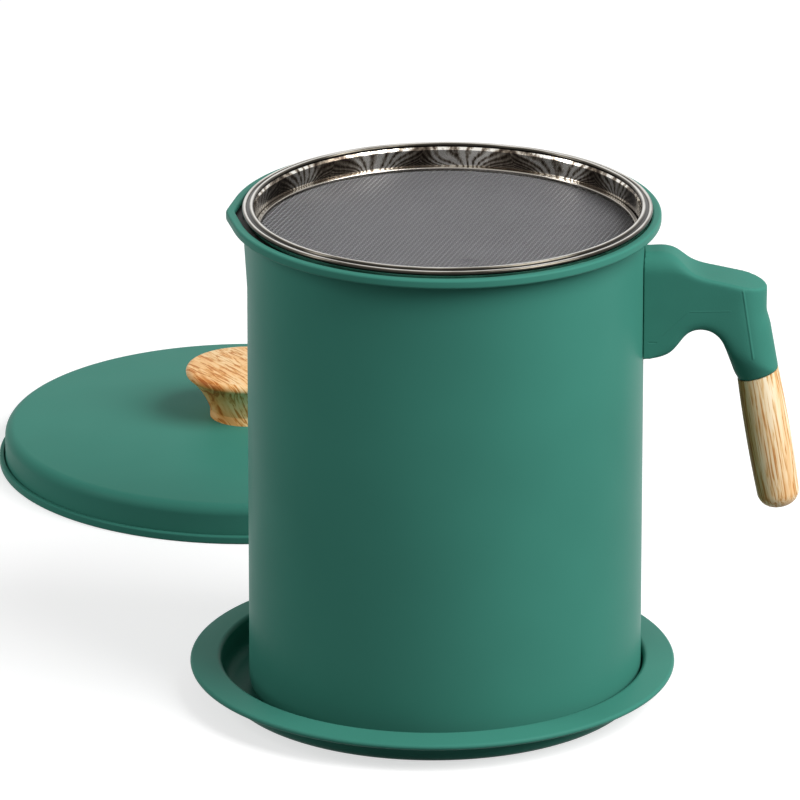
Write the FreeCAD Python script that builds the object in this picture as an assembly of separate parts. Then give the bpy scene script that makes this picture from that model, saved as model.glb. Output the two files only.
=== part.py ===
import FreeCAD, Part
import math
import os

from FreeCAD import Placement, Rotation, Vector

# Bacon grease container: an enamelled pot with a pour spout and a side handle, a fine strainer that
# rests in its rim, a drip tray under it and a lid that lies on the table behind it.
# Sizes are in millimetres. Z is up and the table is z = 0. The Z axis is the pot's axis, the handle
# points along +X and the spout along -X. Radii and heights without another word are of that axis.

# Clearances
running_gap = 0.3
fastened_gap = 0.1
thread_gap = 0.05

# Drip tray
tray_sheet = 0.8
tray_play = 4.5
tray_corner_bend = 4.6
tray_wall_taper = 0.5
tray_depth = 10.7
tray_flange_width = 9.6
tray_flange_droop = 1.0
tray_mouth_bend = 1.2
tray_lip_bend = 0.6
tray_lip_drop = 1.1

# Pot
pot_radius = 65.0
pot_sheet = 0.7
pot_height = 165.6
pot_corner_radius = 5.0
rim_flare = 5.5
rim_bead_radius = 1.5
ledge_bend = 1.0
rim_band_height = 6.0

# Pour spout
spout_half_angle = 12.0
spout_tip_radius = 12.0
spout_height = 26.0

# Strainer
hoop_sheet = 0.4
hoop_play = 0.9
hoop_flange_width = 2.6
hoop_corner_bend = 0.5
strainer_bead_radius = 0.8
inner_bead_spread = 0.9
outer_bead_spread = 2.2
outer_bead_lift = 1.05
inner_bead_lift = 0.5
bead_web = 0.5
foot_sheet = 0.6
foot_ledge_margin = 1.2
mesh_thickness = 0.5
mesh_depth = 6.6
mesh_pitch = 6.5
mesh_hole = 5.2
mesh_rim_width = 2.2
clamp_width = 1.6
clamp_height = 1.1
hoop_lip_drop = 1.4

# Handle arm. Reach is measured from the pot's wall, and drop from the top of its rim
arm_reach = 40.4
arm_root_half_width = 8.6
arm_end_half_width = 9.8
arm_edge_radius = 1.0
arm_root_drop = 12.9
arm_root_rounding = 6.0
arm_shelf_reach = 6.0
arm_step_length = 12.5
arm_crest_drop = 19.0
arm_crest_slope = 13.0
arm_foot_drop = 48.6
arm_foot_reach = 8.2
arch_top_drop = 38.9
arch_start_reach = 14.9
arch_end_reach = 24.25
foot_bend = 6.5
arch_start_bend = 6.0
arch_end_bend = 8.0
arm_ridge_reach = 31.4
arm_waist_drop = 34.0
arm_waist_reach = 40.3
arm_knuckle_drop = 38.5
arm_knuckle_reach = 41.6

# Ferrule, the arm's lower end, and the grip below it
leg_lean = 9.8
ferrule_reach = 37.7
ferrule_drop = 56.1
ferrule_slant = 18.0
ferrule_radius = 6.95
ferrule_flare = 24.0
ferrule_length = 16.0
grip_length = 47.0
grip_radius = 7.4
grip_end_radius = 7.0
grip_end_rounding = 5.4
grip_belly = 22.0
grip_stud_radius = 2.5
grip_stud_length = 22.0
grip_insert_radius = 3.9
grip_insert_length = 9.0
grip_insert_inset = 2.5

# Handle bracket and its screw
bracket_sheet = 1.5
bracket_half_width = 6.0
bracket_top_drop = 17.5
bracket_bottom_drop = 40.0
tongue_half_width = 5.0
tongue_reach = 14.0
tongue_drop = 27.0
tongue_thickness = 4.0
handle_screw_reach = 5.2
handle_screw_radius = 2.0
handle_screw_length = 20.0
handle_screw_head_radius = 3.4
handle_screw_head_height = 2.6
handle_screw_seat_depth = 8.0

# Lid
lid_sheet = 0.8
lid_radius = 88.2
lid_bead_radius = 1.45
lid_height = 13.3
lid_crown = 3.0
lid_shoulder_bend = 3.4
lid_flat_radius = 16.5
lid_flat_bend = 40.0
lid_centre_x = -69.0
lid_centre_y = 219.7
lid_ring_play = 0.7
lid_ring_depth = 6.0
lid_ring_flange = 4.0
lid_ring_bend = 1.2

# Lid knob
knob_base_radius = 13.3
knob_waist_height = 3.0
knob_neck_radius = 15.6
knob_neck_height = 8.2
knob_head_radius = 21.8
knob_height = 19.2
knob_edge_rounding = 1.7
knob_top_rise = 1.0
knob_insert_radius = 4.0
knob_insert_length = 10.0
knob_insert_inset = 1.0
knob_screw_radius = 2.5
knob_screw_grip = 9.0
knob_screw_head_radius = 4.4
knob_screw_head_height = 3.2

# Washers, sockets and the slot of a spring washer
washer_thickness = 1.0
washer_margin = 0.9
socket_share = 0.45
socket_depth = 1.6
spring_washer_slot = 0.8

# Places that follow from the sizes above
pot_base = tray_sheet
rim_top = pot_base + pot_height
pot_inner_radius = pot_radius - pot_sheet
rim_centre_radius = pot_radius + rim_flare - rim_bead_radius
rim_centre_height = rim_top - rim_bead_radius
ledge_height = rim_top - 2 * rim_bead_radius + pot_sheet
tray_inner_radius = pot_radius + tray_play
tray_x = -(tray_play - running_gap)
hoop_radius = pot_inner_radius - hoop_play
strainer_x = hoop_play - running_gap
inner_bead_centre = hoop_radius - hoop_sheet / 2 + inner_bead_spread
outer_bead_centre = inner_bead_centre + outer_bead_spread
outer_bead_height = rim_top + outer_bead_lift
inner_bead_height = outer_bead_height + inner_bead_lift
strainer_top = inner_bead_height + strainer_bead_radius
mesh_top = rim_top - mesh_depth
spout_offset = rim_centre_radius - spout_tip_radius
spout_centre = spout_offset / math.cos(math.radians(spout_half_angle))
spout_reach = spout_centre + spout_tip_radius + rim_bead_radius
lid_top = lid_height + lid_crown
leg_down = Vector(math.sin(math.radians(leg_lean)), 0, -math.cos(math.radians(leg_lean)))
ferrule_point = Vector(pot_radius + ferrule_reach, 0, rim_top - ferrule_drop)

UP = Vector(0, 0, 1)
ORIGIN = Vector(0, 0, 0)


def unit(start, end):
    """Direction in the r-z plane from start to end."""
    dr, dz = end[0] - start[0], end[1] - start[1]
    length = math.hypot(dr, dz)
    return dr / length, dz / length


def moved_path(path, distance):
    """The path of (r, z, bend radius) corners, moved to the left of its travel by distance."""
    corners = []
    for i, (r, z, bend) in enumerate(path):
        into = unit(path[i - 1], path[i]) if i else unit(path[0], path[1])
        out = unit(path[i], path[i + 1]) if i < len(path) - 1 else into
        normal_in, normal_out = (-into[1], into[0]), (-out[1], out[0])
        share = distance / (1 + normal_in[0] * normal_out[0] + normal_in[1] * normal_out[1])
        turn = into[0] * out[1] - into[1] * out[0]
        corners.append((
            r + share * (normal_in[0] + normal_out[0]),
            z + share * (normal_in[1] + normal_out[1]),
            max(0.0, bend - math.copysign(distance, turn)) if bend else 0.0,
        ))
    return corners


def bend_edges(path):
    """Lines along the path with an arc at each corner that has a bend radius, in the XZ plane."""
    edges = []
    here = Vector(path[0][0], 0, path[0][1])
    for i in range(1, len(path) - 1):
        corner = Vector(path[i][0], 0, path[i][1])
        into = (corner - Vector(path[i - 1][0], 0, path[i - 1][1])).normalize()
        out = (Vector(path[i + 1][0], 0, path[i + 1][1]) - corner).normalize()
        half_turn = into.getAngle(out) / 2
        bend = path[i][2]
        if bend <= 0 or half_turn < 1e-6:
            edges.append(Part.LineSegment(here, corner).toShape())
            here = corner
            continue
        reach = bend * math.tan(half_turn)
        start, end = corner - into * reach, corner + out * reach
        towards_centre = (out - into).normalize()
        middle = corner + towards_centre * (bend / math.cos(half_turn) - bend)
        if (start - here).Length > 1e-6:
            edges.append(Part.LineSegment(here, start).toShape())
        edges.append(Part.Arc(start, middle, end).toShape())
        here = end
    last = Vector(path[-1][0], 0, path[-1][1])
    if (last - here).Length > 1e-6:
        edges.append(Part.LineSegment(here, last).toShape())
    return edges


def closed_face(path):
    """Face inside a closed path of (x, z, bend radius) corners. It starts and ends in a sharp one."""
    return Part.Face(Part.Wire(bend_edges(path + [path[0]])))


def sheet_face(path, sheet):
    """Section of a bent sheet whose middle follows the path of (r, z, bend radius) corners."""
    one = moved_path(path, sheet / 2)
    other = moved_path(path, -sheet / 2)[::-1]
    caps = []
    for start, end in ((one[-1], other[0]), (other[-1], one[0])):
        caps.append(Part.LineSegment(Vector(start[0], 0, start[1]), Vector(end[0], 0, end[1])).toShape())
    return Part.Face(Part.Wire(bend_edges(one) + [caps[0]] + bend_edges(other) + [caps[1]]))


def box_face(r_low, r_high, z_low, z_high):
    """Rectangular section in the XZ plane."""
    corners = [(r_low, z_low), (r_high, z_low), (r_high, z_high), (r_low, z_high), (r_low, z_low)]
    return Part.Face(Part.makePolygon([Vector(r, 0, z) for r, z in corners]))


def spun(face):
    """Ring or dish made by one full turn of a section about the Z axis."""
    return face.revolve(ORIGIN, UP, 360)


def cylinder(radius, z_low, z_high, x=0.0, y=0.0):
    return Part.makeCylinder(radius, z_high - z_low, Vector(x, y, z_low), UP)


def centred_box(x_low, x_high, half_width, z_low, z_high):
    """Block that is symmetric about the XZ plane."""
    corner = Vector(x_low, -half_width, z_low)
    return Part.makeBox(x_high - x_low, 2 * half_width, z_high - z_low, corner)


def washer(radius, hole, z_low, thickness, x=0.0, y=0.0):
    """Flat washer."""
    bore = cylinder(hole, z_low - thickness, z_low + 2 * thickness, x, y)
    return cylinder(radius, z_low, z_low + thickness, x, y).cut(bore)


def spring_washer(radius, hole, z_low, thickness, x=0.0, y=0.0):
    """Split washer, pressed flat, with its slot on the -Y side."""
    slot = Part.makeBox(spring_washer_slot, radius, 3 * thickness,
                        Vector(x - spring_washer_slot / 2, y - radius, z_low - thickness))
    return washer(radius, hole, z_low, thickness, x, y).cut(slot)


def screw_from_below(radius, head_radius, head_height, seat, tip, x=0.0, y=0.0):
    """Socket head screw that points up, with its head's bearing face at the height seat."""
    head = cylinder(head_radius, seat - head_height, seat, x, y)
    shank = cylinder(radius, seat, tip, x, y)
    corners = []
    for i in range(7):
        angle = math.radians(60 * i)
        reach = socket_share * head_radius
        corners.append(Vector(x + reach * math.cos(angle), y + reach * math.sin(angle), seat - head_height))
    socket = Part.Face(Part.makePolygon(corners)).extrude(UP * socket_depth)
    return head.fuse(shank).removeSplitter().cut(socket)


def along_leg(radius, start, end):
    """Cylinder on the axis of the handle's leg, from start to end along it, downwards from the ferrule."""
    return Part.makeCylinder(radius, end - start, ferrule_point + leg_down * start, leg_down)


def drip_tray():
    """Round dish with a drooping flange and a rolled lip. The pot stands against one side of it."""
    middle = tray_inner_radius + tray_sheet / 2
    mouth = middle + tray_wall_taper
    flange_height = tray_sheet / 2 + tray_depth
    lip = mouth + tray_flange_width
    lip_height = flange_height - tray_flange_droop
    face = sheet_face([
        (0, tray_sheet / 2, 0),
        (middle, tray_sheet / 2, tray_corner_bend),
        (mouth, flange_height, tray_mouth_bend),
        (lip, lip_height, tray_lip_bend),
        (lip, lip_height - tray_lip_drop, tray_lip_bend),
        (lip - tray_lip_drop, lip_height - tray_lip_drop, 0),
    ], tray_sheet)
    tray = spun(face)
    tray.translate(Vector(tray_x, 0, 0))
    return tray


def spout_wire(radius, height, bulge):
    """Outline of the pot's wall at a height. With bulge it has the spout's V, and else it is round."""
    half = math.radians(spout_half_angle)
    tip = radius - spout_offset
    side = math.atan2(tip * math.sin(half), spout_centre + tip * math.cos(half))

    def on_circle(angle):
        return Vector(-radius * math.cos(angle), radius * math.sin(angle), height)

    def on_tip(angle):
        return Vector(-spout_centre - tip * math.cos(angle), tip * math.sin(angle), height)

    back = Vector(radius, 0, height)
    round_part = Part.Arc(on_circle(-half), back, on_circle(half)).toShape()
    if bulge:
        one_side = Part.LineSegment(on_circle(half), on_tip(half)).toShape()
        nose = Part.Arc(on_tip(half), on_tip(0), on_tip(-half)).toShape()
        other_side = Part.LineSegment(on_tip(-half), on_circle(-half)).toShape()
    else:
        one_side = Part.Arc(on_circle(half), on_circle((half + side) / 2), on_circle(side)).toShape()
        nose = Part.Arc(on_circle(side), on_circle(0), on_circle(-side)).toShape()
        other_side = Part.Arc(on_circle(-side), on_circle(-(half + side) / 2), on_circle(-half)).toShape()
    return Part.Wire([round_part, one_side, nose, other_side])


def round_the_rim(face):
    """Sweeps a section once round the pot's outline, over the spout's V as well."""
    half = math.radians(spout_half_angle)
    face = face.copy()
    face.rotate(ORIGIN, UP, spout_half_angle - 180)
    whole = face.revolve(ORIGIN, UP, 360 - 2 * spout_half_angle)
    other_end = face.copy()
    other_end.rotate(ORIGIN, UP, 360 - 2 * spout_half_angle)
    towards_tip = Vector(-math.sin(half), -math.cos(half), 0) * (spout_centre * math.sin(half))
    side = other_end.extrude(towards_tip)
    nose_face = other_end.copy()
    nose_face.translate(towards_tip)
    nose = nose_face.revolve(Vector(-spout_centre, 0, 0), UP, 2 * spout_half_angle)
    other_side = side.mirror(ORIGIN, Vector(0, 1, 0))
    return whole.fuse([side, nose, other_side]).removeSplitter()


def pot_body():
    """Deep drawn pot: base, wall, spout, inner ledge for the strainer and rolled rim."""
    middle = pot_radius - pot_sheet / 2
    bottom = pot_base + pot_sheet / 2
    spout_start = rim_top - spout_height
    band_start = rim_top - rim_band_height
    lower = spun(sheet_face([
        (0, bottom, 0),
        (middle, bottom, pot_corner_radius - pot_sheet / 2),
        (middle, spout_start, 0),
    ], pot_sheet))
    skins = []
    for radius in (pot_radius, pot_inner_radius):
        wires = [spout_wire(radius, spout_start, False), spout_wire(radius, band_start, True)]
        skins.append(Part.makeLoft(wires, True, True))
    upper = skins[0].cut(skins[1])
    curl = rim_bead_radius - pot_sheet / 2
    rim = round_the_rim(sheet_face([
        (middle, band_start, 0),
        (middle, rim_centre_height - curl, ledge_bend),
        (rim_centre_radius + curl, rim_centre_height - curl, curl),
        (rim_centre_radius + curl, rim_centre_height + curl, curl),
        (rim_centre_radius - curl, rim_centre_height + curl, curl),
        (rim_centre_radius - curl, rim_centre_height, 0),
    ], pot_sheet))
    return lower.fuse([upper, rim]).removeSplitter()


def strainer_hoop():
    """Steel wall of the strainer, with a flange under the mesh and a lip that the rim is rolled round."""
    middle = hoop_radius - hoop_sheet / 2
    flange = mesh_top - mesh_thickness - hoop_sheet / 2
    return spun(sheet_face([
        (middle - hoop_flange_width, flange, 0),
        (middle, flange, hoop_corner_bend),
        (middle, inner_bead_height - hoop_lip_drop, hoop_corner_bend),
        (inner_bead_centre, inner_bead_height, 0),
    ], hoop_sheet))


def strainer_rim(hoop):
    """Double rolled rim, with the foot that stands on the pot's ledge."""
    foot_middle = pot_radius + foot_ledge_margin
    web = sheet_face([
        (inner_bead_centre, inner_bead_height, 0),
        (outer_bead_centre, outer_bead_height, 0),
    ], bead_web)
    foot = box_face(foot_middle - foot_sheet / 2, foot_middle + foot_sheet / 2, ledge_height,
                    outer_bead_height)
    inner = Part.makeTorus(inner_bead_centre, strainer_bead_radius, Vector(0, 0, inner_bead_height))
    outer = Part.makeTorus(outer_bead_centre, strainer_bead_radius, Vector(0, 0, outer_bead_height))
    return inner.fuse([outer, spun(web), spun(foot)]).removeSplitter().cut(hoop)


def strainer_mesh():
    """Disc with square openings in a grid, one net with a plain border."""
    outer_radius = hoop_radius - hoop_sheet - hoop_corner_bend
    low = mesh_top - mesh_thickness
    net_radius = outer_radius - mesh_rim_width
    outline = Part.Wire(Part.makeCircle(outer_radius, Vector(0, 0, low), UP))
    openings = []
    rows = int(net_radius / mesh_pitch) + 1
    half = mesh_hole / 2
    for i in range(-rows, rows + 1):
        for j in range(-rows, rows + 1):
            x, y = i * mesh_pitch, j * mesh_pitch
            if math.hypot(abs(x) + half, abs(y) + half) > net_radius:
                continue
            corners = [(x - half, y - half), (x - half, y + half), (x + half, y + half),
                       (x + half, y - half), (x - half, y - half)]
            openings.append(Part.makePolygon([Vector(a, b, low) for a, b in corners]))
    print("mesh openings", len(openings))
    return Part.Face([outline] + openings).extrude(UP * mesh_thickness)


def mesh_clamp_ring():
    """Steel ring that holds the edge of the mesh down on the hoop's flange."""
    outer = hoop_radius - hoop_sheet - fastened_gap
    ring = spun(box_face(outer - clamp_width, outer, mesh_top, mesh_top + clamp_height))
    top_edges = [e for e in ring.Edges if e.BoundBox.ZMin > mesh_top + clamp_height / 2
                 and abs(e.BoundBox.XMax + e.BoundBox.XMin) < 1e-3]
    return ring.makeFillet(clamp_height / 3, top_edges)


def arm_underside():
    """Block whose lower side is the arm's: foot, arch and leg, down to the ferrule's slanted end."""
    inside = pot_radius / 2
    past_end = pot_radius + 2 * arm_reach
    slant = math.tan(math.radians(ferrule_slant))
    inner_side = ferrule_point.x - ferrule_radius / math.cos(math.radians(leg_lean))

    def at(reach, drop, bend):
        return pot_radius + reach, rim_top - drop, bend

    face = closed_face([
        (inside, rim_top, 0),
        (inside, rim_top - arm_foot_drop, 0),
        at(arm_foot_reach, arm_foot_drop, foot_bend),
        at(arch_start_reach, arch_top_drop, arch_start_bend),
        at(arch_end_reach, arch_top_drop, arch_end_bend),
        (inner_side, ferrule_point.z + slant * (inner_side - ferrule_point.x), 0),
        (past_end, ferrule_point.z + slant * (past_end - ferrule_point.x), 0),
        (past_end, rim_top, 0),
    ])
    face.translate(Vector(0, -2 * arm_end_half_width, 0))
    return face.extrude(Vector(0, 4 * arm_end_half_width, 0))


def arm_section(reach, drop, rounding):
    """Section of the arm square to X: straight sides and a top with two rounded corners."""
    share = reach / arm_ridge_reach
    half = arm_root_half_width + share * (arm_end_half_width - arm_root_half_width)
    x, top, low = pot_radius + reach, rim_top - drop, ferrule_point.z - 2 * ferrule_radius
    inner, turn = half - rounding, rounding * math.sin(math.radians(45))

    def arc(side):
        return [Vector(x, side * half, top - rounding),
                Vector(x, side * (inner + turn), top - rounding + turn),
                Vector(x, side * inner, top)]

    right, left = arc(1), arc(-1)[::-1]
    corners = [Vector(x, -half, low), Vector(x, half, low)]
    return Part.Wire([
        Part.LineSegment(corners[0], corners[1]).toShape(),
        Part.LineSegment(corners[1], right[0]).toShape(),
        Part.Arc(*right).toShape(),
        Part.LineSegment(right[2], left[0]).toShape(),
        Part.Arc(*left).toShape(),
        Part.LineSegment(left[2], corners[0]).toShape(),
    ])


def arm_top(reach):
    """Drop of the arm's top and the rounding of its edges: a shelf, a smooth step and a sloping crest."""
    crest = arm_crest_drop + math.tan(math.radians(arm_crest_slope)) * (reach - arm_step_length)
    along = min(1.0, max(0.0, (reach - arm_shelf_reach) / arm_step_length))
    step = along * along * (3 - 2 * along)
    drop = (1 - step) * arm_root_drop + step * crest
    return drop, (1 - step) * arm_root_rounding + step * arm_edge_radius


def arm_upper_side():
    """Block whose upper side is the arm's, through evenly spaced sections that overshoot both ends."""
    stations = 16
    spacing = 1.6 * arm_reach / stations
    wires = []
    for i in range(-2, stations - 1):
        reach = i * spacing
        wires.append(arm_section(reach, *arm_top(reach)))
    return Part.makeLoft(wires, True, False, False, 3)


def arm_end_outline(drop):
    """Outline, seen from above, that rounds the arm's outer end between the ridges on its two sides."""
    z = rim_top - drop
    lean = math.tan(math.radians(leg_lean))
    ridge = pot_radius + arm_ridge_reach + lean * (drop - arm_top(arm_ridge_reach)[0])
    leg_outside = ferrule_radius / math.cos(math.radians(leg_lean)) + lean * (drop - ferrule_drop)
    ends = {arm_waist_drop: pot_radius + arm_waist_reach, arm_knuckle_drop: pot_radius + arm_knuckle_reach}
    after_knuckle = drop > arm_knuckle_drop
    end = ends.get(drop, ferrule_point.x + leg_outside if after_knuckle else pot_radius + arm_reach)
    half = arm_end_half_width
    back, wide = pot_radius / 2, 2 * half
    corners = [Vector(ridge, -half, z), Vector(ridge - half, -wide, z), Vector(back, -wide, z),
               Vector(back, wide, z), Vector(ridge - half, wide, z), Vector(ridge, half, z)]
    edges = [Part.LineSegment(start, stop).toShape() for start, stop in zip(corners, corners[1:])]
    edges.append(Part.Arc(corners[-1], Vector(end, 0, z), corners[0]).toShape())
    return Part.Wire(edges)


def bracket_block(gap):
    """Plate on the pot's wall with a tongue, larger by gap all round, with no screw hole."""
    low = rim_top - bracket_bottom_drop - gap
    high = rim_top - bracket_top_drop + gap
    shell = cylinder(pot_radius + fastened_gap / 2 + bracket_sheet + gap, low, high)
    shell = shell.cut(cylinder(pot_radius + fastened_gap / 2, low - 1, high + 1))
    reach = pot_radius + bracket_sheet
    plate = shell.common(centred_box(pot_radius / 2, 2 * pot_radius, bracket_half_width + gap, low, high))
    tongue_high = rim_top - tongue_drop + gap
    tongue_low = rim_top - tongue_drop - tongue_thickness - gap
    tongue = centred_box(reach - bracket_sheet / 2, pot_radius + tongue_reach + gap,
                         tongue_half_width + gap, tongue_low, tongue_high)
    return plate.fuse(tongue).removeSplitter()


def handle_bracket():
    """Steel bracket welded on the pot's wall. The screw goes into its tongue."""
    hole = cylinder(handle_screw_radius + thread_gap, 0, rim_top, pot_radius + handle_screw_reach)
    return bracket_block(0).cut(hole)


def handle_screw_stack():
    """The screw that comes up from under the arm's root, its flat washer and its spring washer."""
    x = pot_radius + handle_screw_reach
    seat = rim_top - arm_foot_drop + handle_screw_seat_depth
    hole = handle_screw_radius + fastened_gap
    radius = handle_screw_head_radius
    flat = washer(radius, hole, seat - washer_thickness, washer_thickness, x)
    spring_low = seat - 2 * washer_thickness
    spring = spring_washer(radius - fastened_gap, hole, spring_low, washer_thickness, x)
    screw = screw_from_below(handle_screw_radius, handle_screw_head_radius - fastened_gap,
                             handle_screw_head_height, spring_low, spring_low + handle_screw_length, x)
    return flat, spring, screw


def ferrule_plane_block(above):
    """Large block on one side of the slanted plane between the arm and the grip."""
    size = 4 * grip_length
    low = 0 if above else -size
    block = Part.makeBox(size, size, size, Vector(-size / 2, -size / 2, low))
    block.rotate(ORIGIN, Vector(0, 1, 0), -ferrule_slant)
    block.translate(ferrule_point)
    return block


def leg_trim():
    """What is cut off round the leg, so that it narrows to a round ferrule."""
    flare = math.tan(math.radians(ferrule_flare)) * ferrule_length
    top = ferrule_point - leg_down * ferrule_length
    cone = Part.makeCone(ferrule_radius + flare, ferrule_radius, ferrule_length, top, leg_down)
    core = cone.fuse(along_leg(ferrule_radius, 0, ferrule_length))
    return along_leg(ferrule_radius + flare, -ferrule_length, ferrule_length).cut(core)


def handle_arm():
    """Moulded arm: its root fits the pot's wall and holds the bracket, its lower end holds the grip."""
    past_ferrule = ferrule_drop + 2 * ferrule_radius
    drops = (0, arm_waist_drop, arm_knuckle_drop, ferrule_drop, past_ferrule)
    end_block = Part.makeLoft([arm_end_outline(drop) for drop in drops], True, True)
    arm = arm_underside().common(arm_upper_side()).common(end_block)
    arm = arm.cut(leg_trim())
    arm = arm.cut(cylinder(pot_radius + fastened_gap, 0, 2 * rim_top))
    x = pot_radius + handle_screw_reach
    foot = rim_top - arm_foot_drop
    seat = foot + handle_screw_seat_depth
    top_of_bore = seat - 2 * washer_thickness + handle_screw_length + 1
    bores = [
        bracket_block(fastened_gap),
        cylinder(handle_screw_radius + fastened_gap, foot, top_of_bore, x),
        cylinder(handle_screw_head_radius + fastened_gap, foot - 5, seat, x),
        along_leg(grip_insert_radius + thread_gap, -grip_insert_inset - grip_insert_length, -grip_insert_inset),
        along_leg(grip_stud_radius + thread_gap, -grip_stud_length / 2 - 1, grip_length / 2),
    ]
    return arm.cut(bores)


def on_leg(shape):
    """Puts a shape that was made upwards along Z on the leg's axis, pointing down from the ferrule."""
    shape = shape.copy()
    shape.Placement = Placement(ferrule_point, Rotation(UP, leg_down))
    return shape


def handle_grip():
    """Wood-grain grip: a slightly barrelled round bar with a rounded end."""
    above = -grip_insert_inset - grip_insert_length
    first = Vector(ferrule_radius, 0, above)
    neck = Vector(ferrule_radius, 0, 0)
    belly = Vector(grip_radius, 0, grip_belly)
    last = Vector(grip_end_radius, 0, grip_length - grip_end_rounding)
    end = Vector(grip_end_radius - grip_end_rounding, 0, grip_length)
    middle_turn = math.radians(45)
    corner = Vector(end.x + grip_end_rounding * math.sin(middle_turn), 0,
                    last.z + grip_end_rounding * math.cos(middle_turn))
    profile = Part.Wire([
        Part.LineSegment(Vector(0, 0, above), first).toShape(),
        Part.LineSegment(first, neck).toShape(),
        Part.Arc(neck, belly, last).toShape(),
        Part.Arc(last, corner, end).toShape(),
        Part.LineSegment(end, Vector(0, 0, grip_length)).toShape(),
        Part.LineSegment(Vector(0, 0, grip_length), Vector(0, 0, above)).toShape(),
    ])
    grip = on_leg(spun(Part.Face(profile))).cut(ferrule_plane_block(True))
    insert = along_leg(grip_insert_radius + thread_gap, grip_insert_inset,
                       grip_insert_inset + grip_insert_length)
    stud = along_leg(grip_stud_radius + thread_gap, -grip_stud_length, grip_stud_length / 2 + 1)
    return grip.cut([insert, stud])


def threaded_insert(start, end):
    """Brass insert on the leg's axis."""
    return along_leg(grip_insert_radius, start, end).cut(
        along_leg(grip_stud_radius + thread_gap, start - 1, end + 1))


def lid_underside(r):
    """Height of the lid's underside at a radius between its flat centre and its shoulder."""
    share = (r - lid_flat_radius) / (lid_radius - 2 * lid_bead_radius - lid_flat_radius)
    return lid_top - share * lid_crown - lid_sheet


def lid_shell():
    """Shallow dish, upside down: crowned top, rounded shoulder, short wall and rolled rim."""
    curl = lid_bead_radius - lid_sheet / 2
    bead = lid_radius - lid_bead_radius
    wall = bead - curl
    low, high = lid_bead_radius - curl, lid_bead_radius + curl
    shell = spun(sheet_face([
        (0, lid_top - lid_sheet / 2, 0),
        (lid_flat_radius, lid_top - lid_sheet / 2, lid_flat_bend),
        (wall, lid_height - lid_sheet / 2, lid_shoulder_bend),
        (wall, low, curl),
        (bead + curl, low, curl),
        (bead + curl, high, curl),
        (bead, high, 0),
    ], lid_sheet))
    hole = cylinder(knob_screw_radius + fastened_gap, 0, lid_top + 1)
    return shell.cut(hole)


def lid_locating_ring(shell):
    """Ring under the lid that drops round the pot's rim and its spout."""
    middle = spout_reach + lid_ring_play + lid_sheet / 2
    inner = middle - lid_ring_flange
    top = lid_underside(middle) + thread_gap
    return spun(sheet_face([
        (middle, top - lid_ring_depth, 0),
        (middle, top - lid_sheet / 2, lid_ring_bend),
        (inner, lid_underside(inner) + thread_gap - lid_sheet / 2, 0),
    ], lid_sheet)).cut(shell)


def lid_knob():
    """Wood-grain knob: a waisted stem under a broad, slightly domed head."""
    seat = lid_top
    edge = knob_edge_rounding
    base = Vector(knob_base_radius, 0, seat)
    waist = Vector(knob_base_radius, 0, seat + knob_waist_height)
    neck = Vector(knob_neck_radius, 0, seat + knob_neck_height)
    shoulder = Vector(knob_head_radius - edge, 0, seat + knob_height - knob_top_rise)
    under_head = Vector(knob_head_radius - edge / 2, 0, shoulder.z - 2 * edge)
    side = Vector(knob_head_radius, 0, shoulder.z - edge)
    top = Vector(0, 0, seat + knob_height)
    dome_radius = (shoulder.x ** 2 + knob_top_rise ** 2) / (2 * knob_top_rise)
    half_angle = math.asin(shoulder.x / dome_radius) / 2
    dome = Vector(dome_radius * math.sin(half_angle), 0,
                  top.z - dome_radius * (1 - math.cos(half_angle)))
    profile = Part.Wire([
        Part.LineSegment(Vector(0, 0, seat), base).toShape(),
        Part.LineSegment(base, waist).toShape(),
        Part.Arc(waist, neck, under_head).toShape(),
        Part.Arc(under_head, side, shoulder).toShape(),
        Part.Arc(shoulder, dome, top).toShape(),
        Part.LineSegment(top, Vector(0, 0, seat)).toShape(),
    ])
    knob = spun(Part.Face(profile))
    insert_low = seat + knob_insert_inset
    return knob.cut([
        cylinder(knob_insert_radius + thread_gap, insert_low, insert_low + knob_insert_length),
        cylinder(knob_screw_radius + fastened_gap, seat - 1, insert_low + knob_insert_length + 1),
    ])


def lid_pieces():
    """The lid's pieces, made on the Z axis and then put where the lid lies."""
    shell = lid_shell()
    insert_low = lid_top + knob_insert_inset
    insert = cylinder(knob_insert_radius, insert_low, insert_low + knob_insert_length).cut(
        cylinder(knob_screw_radius + thread_gap, 0, 2 * lid_top))
    under = lid_top - lid_sheet
    hole = knob_screw_radius + fastened_gap
    outer = knob_screw_head_radius + washer_margin
    flat = washer(outer, hole, under - washer_thickness, washer_thickness)
    spring_low = under - 2 * washer_thickness
    spring = spring_washer(knob_screw_head_radius, hole, spring_low, washer_thickness)
    screw = screw_from_below(knob_screw_radius, knob_screw_head_radius, knob_screw_head_height,
                             spring_low, insert_low + knob_screw_grip)
    made = {
        "lid_shell": shell,
        "lid_locating_ring": lid_locating_ring(shell),
        "lid_knob": lid_knob(),
        "knob_insert": insert,
        "knob_flat_washer": flat,
        "knob_spring_washer": spring,
        "knob_screw": screw,
    }
    for shape in made.values():
        shape.translate(Vector(lid_centre_x, lid_centre_y, 0))
    return made


def strainer_pieces():
    """The strainer's pieces, made on the Z axis and then put where the strainer sits in the rim."""
    hoop = strainer_hoop()
    made = {
        "strainer_hoop": hoop,
        "strainer_rim": strainer_rim(hoop),
        "strainer_mesh": strainer_mesh(),
        "mesh_clamp_ring": mesh_clamp_ring(),
    }
    for shape in made.values():
        shape.translate(Vector(strainer_x, 0, 0))
    return made


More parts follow.
